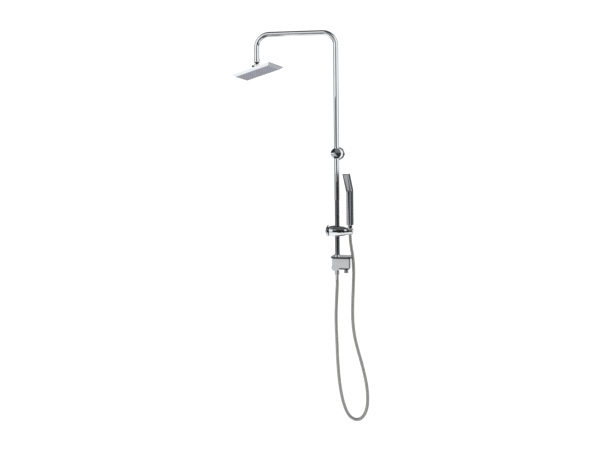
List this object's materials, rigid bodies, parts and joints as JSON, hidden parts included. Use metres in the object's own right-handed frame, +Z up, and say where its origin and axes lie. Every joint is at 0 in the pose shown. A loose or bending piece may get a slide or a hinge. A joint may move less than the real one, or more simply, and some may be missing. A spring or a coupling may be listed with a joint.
{
  "type": "rainfall shower column",
  "caption": "Wall-fed shower column: diverter, telescopic riser, swivelling arm with a tilting rectangular rain head, and a sliding cradle with a stick handset on a metal hose.",
  "frame": {"origin": "the wall inlet's axis where its thread starts, in the wall plane", "axes": "+X to the right as seen from the room, -Y into the room, +Z up along the riser"},
  "size_m": [0.5784, 0.1861, 1.6498],
  "materials": {
    "chrome": "polished chrome plate on brass",
    "plated_plastic": "polished chrome plate on moulded ABS",
    "brass": "machined",
    "steel": "plain stainless steel",
    "rubber": "matt",
    "acetal": "satin",
    "ceramic": null,
    "face_plastic": "satin grey ABS",
    "silicone": "soft grey silicone",
    "tube_steel": "fine-ground stainless tube",
    "black_plastic": "satin black ABS",
    "hose_metal": "interlocked stainless strip"
  },
  "bodies": {
    "root": {"diverter_cover": "chrome", "top_plate": "chrome", "plate_tray": "black_plastic", "knob_plinth": "black_plastic", "diverter_core": "brass", "back_plate": "steel", "back_screws": "steel", "inlet_nipple": "brass", "inlet_washer": "rubber", "inlet_filter": "steel", "diverter_cartridge": "acetal", "riser_collar": "chrome", "riser_seal": "rubber", "lower_riser_tube": "tube_steel", "seal_carrier": "brass", "carrier_orings": "rubber", "bracket_plate": "steel", "bracket_body": "chrome", "bracket_flange": "chrome", "bracket_cap": "chrome", "bracket_grub_screw": "steel", "outlet_nipple": "chrome", "outlet_washer": "rubber", "outlet_nut": "chrome", "lower_ferrule": "chrome", "hose": "hose_metal"},
    "diverter_knob": {"diverter_knob": "chrome", "diverter_spindle": "steel", "ceramic_disc": "ceramic"},
    "riser_bush": {"bracket_bush": "acetal"},
    "upper_riser": {"upper_riser_tube": "chrome", "drop_collar": "chrome", "ball_stem": "chrome"},
    "swivel_washer": {"swivel_washer": "acetal"},
    "ball_seat": {"ball_seat": "acetal"},
    "rain_head": {"retaining_nut": "chrome", "head_shell": "plated_plastic", "nozzle_plate": "face_plastic", "nozzle_mat": "silicone", "head_gasket": "rubber", "head_screws": "steel"},
    "slider": {"slider_body": "chrome", "slider_bush": "acetal", "clamp_pad": "acetal", "cradle_axle": "steel", "friction_washer": "acetal", "cradle_screw": "steel"},
    "slider_knob": {"slider_knob": "chrome", "knob_stud": "steel"},
    "cradle": {"cradle": "plated_plastic", "cradle_liner": "acetal"},
    "handset": {"handset_shell": "plated_plastic", "handset_plug": "plated_plastic", "spray_plate": "face_plastic", "spray_nozzles": "silicone", "handset_tube": "acetal", "handset_inlet": "chrome", "cone_nut": "chrome", "handset_washer": "rubber", "upper_ferrule": "chrome"}
  },
  "joints": [
    {"name": "arm_swivel", "type": "hinge", "parent": "root", "child": "riser_bush", "pos_m": [0, -0.05, 0.462], "axis": [0, 0, 1], "range_deg": [0, 168]},
    {"name": "riser_telescope", "type": "slide", "parent": "riser_bush", "child": "upper_riser", "axis": [0, 0, 1], "range_m": [0, 0.25]},
    {"name": "head_tilt", "type": "hinge", "parent": "upper_riser", "child": "swivel_washer", "pos_m": [-0.33814, -0.08554, 0.84], "axis": [-0.8192, -0.5736, 0], "range_deg": [-31, 4]},
    {"name": "head_rock", "type": "hinge", "parent": "swivel_washer", "child": "ball_seat", "pos_m": [-0.33814, -0.08554, 0.84], "axis": [0.5577, -0.7965, 0.2334], "range_deg": [-12, 12]},
    {"name": "head_turn", "type": "hinge", "parent": "ball_seat", "child": "rain_head", "pos_m": [-0.33814, -0.08554, 0.84], "axis": [-0.1339, 0.1912, 0.9724], "continuous": true},
    {"name": "slider_height", "type": "slide", "parent": "root", "child": "slider", "axis": [0, 0, 1], "range_m": [-0.06, 0.1], "deforming": ["hose"]},
    {"name": "slider_knob_turn", "type": "hinge", "parent": "slider", "child": "slider_knob", "pos_m": [-0.04, -0.05, 0.134], "axis": [-1, 0, 0], "range_deg": [0, 180]},
    {"name": "cradle_tilt", "type": "hinge", "parent": "slider", "child": "cradle", "pos_m": [0.03, -0.05, 0.134], "axis": [1, 0, 0], "range_deg": [-4, 60]},
    {"name": "handset_lift", "type": "slide", "parent": "cradle", "child": "handset", "axis": [0, 0, 1], "range_m": [0, 0.06]},
    {"name": "diverter_turn", "type": "hinge", "parent": "root", "child": "diverter_knob", "pos_m": [0.037, -0.05, -0.03], "axis": [0, 0, 1], "range_deg": [0, 90]}
  ]
}
